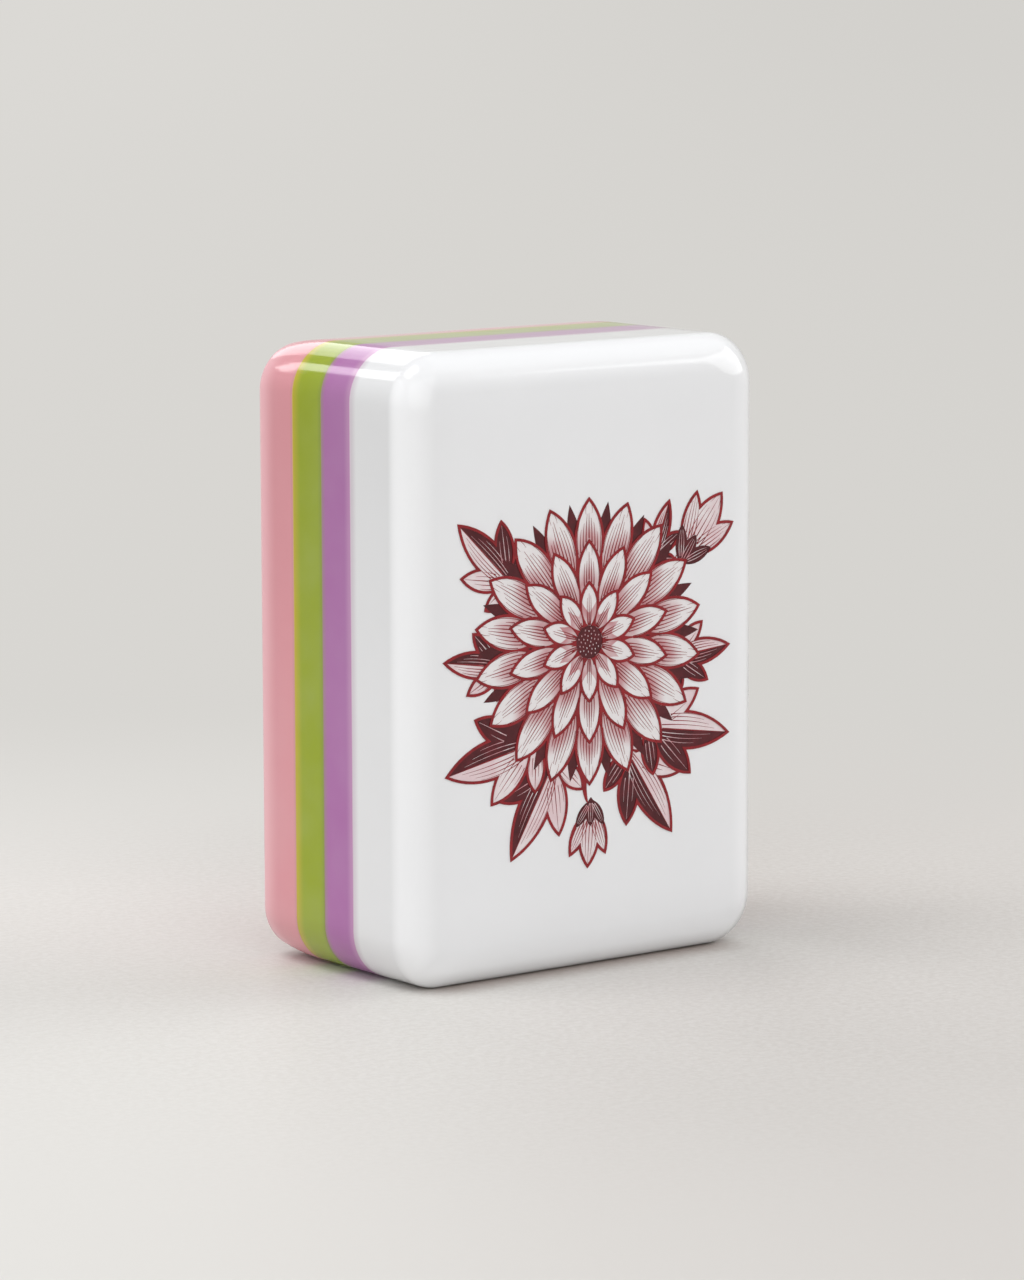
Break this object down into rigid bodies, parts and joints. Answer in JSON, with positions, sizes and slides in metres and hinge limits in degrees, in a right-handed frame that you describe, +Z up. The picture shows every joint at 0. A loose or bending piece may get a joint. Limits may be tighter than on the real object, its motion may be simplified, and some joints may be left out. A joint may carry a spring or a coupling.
{
  "type": "mahjong tile",
  "caption": "Rounded block laminated from coloured plastic slabs, its face engraved with a flower and filled flush with paint.",
  "frame": {"origin": "middle of the bottom edge face that the tile stands on", "axes": "+Z up along the tile's height, -Y out of the painted face, +X to the right seen from the front"},
  "size_m": [0.0216, 0.0128, 0.03],
  "materials": {
    "white_plastic": "polished",
    "lilac_plastic": "polished",
    "green_plastic": "polished",
    "pink_plastic": "polished",
    "front_bond_film": "polished",
    "middle_bond_film": "polished",
    "back_bond_film": "polished",
    "pale_pink_paint": "smooth paint, flush with the face",
    "oxblood_paint": "smooth paint, flush with the face",
    "maroon_paint": "smooth paint, flush with the face"
  },
  "bodies": {
    "root": {"white_face": "white_plastic", "front_bond": "front_bond_film", "lilac_layer": "lilac_plastic", "middle_bond": "middle_bond_film", "green_layer": "green_plastic", "back_bond": "back_bond_film", "pink_back": "pink_plastic", "petal_wash_paint": "pale_pink_paint", "petal_line_paint": "oxblood_paint", "blossom_shadow_paint": "maroon_paint", "leaf_wash_paint": "pale_pink_paint", "leaf_line_paint": "oxblood_paint", "leaf_shadow_paint": "maroon_paint", "bud_wash_paint": "pale_pink_paint", "bud_line_paint": "oxblood_paint", "bud_shadow_paint": "maroon_paint", "stem_paint": "oxblood_paint"}
  },
  "joints": []
}
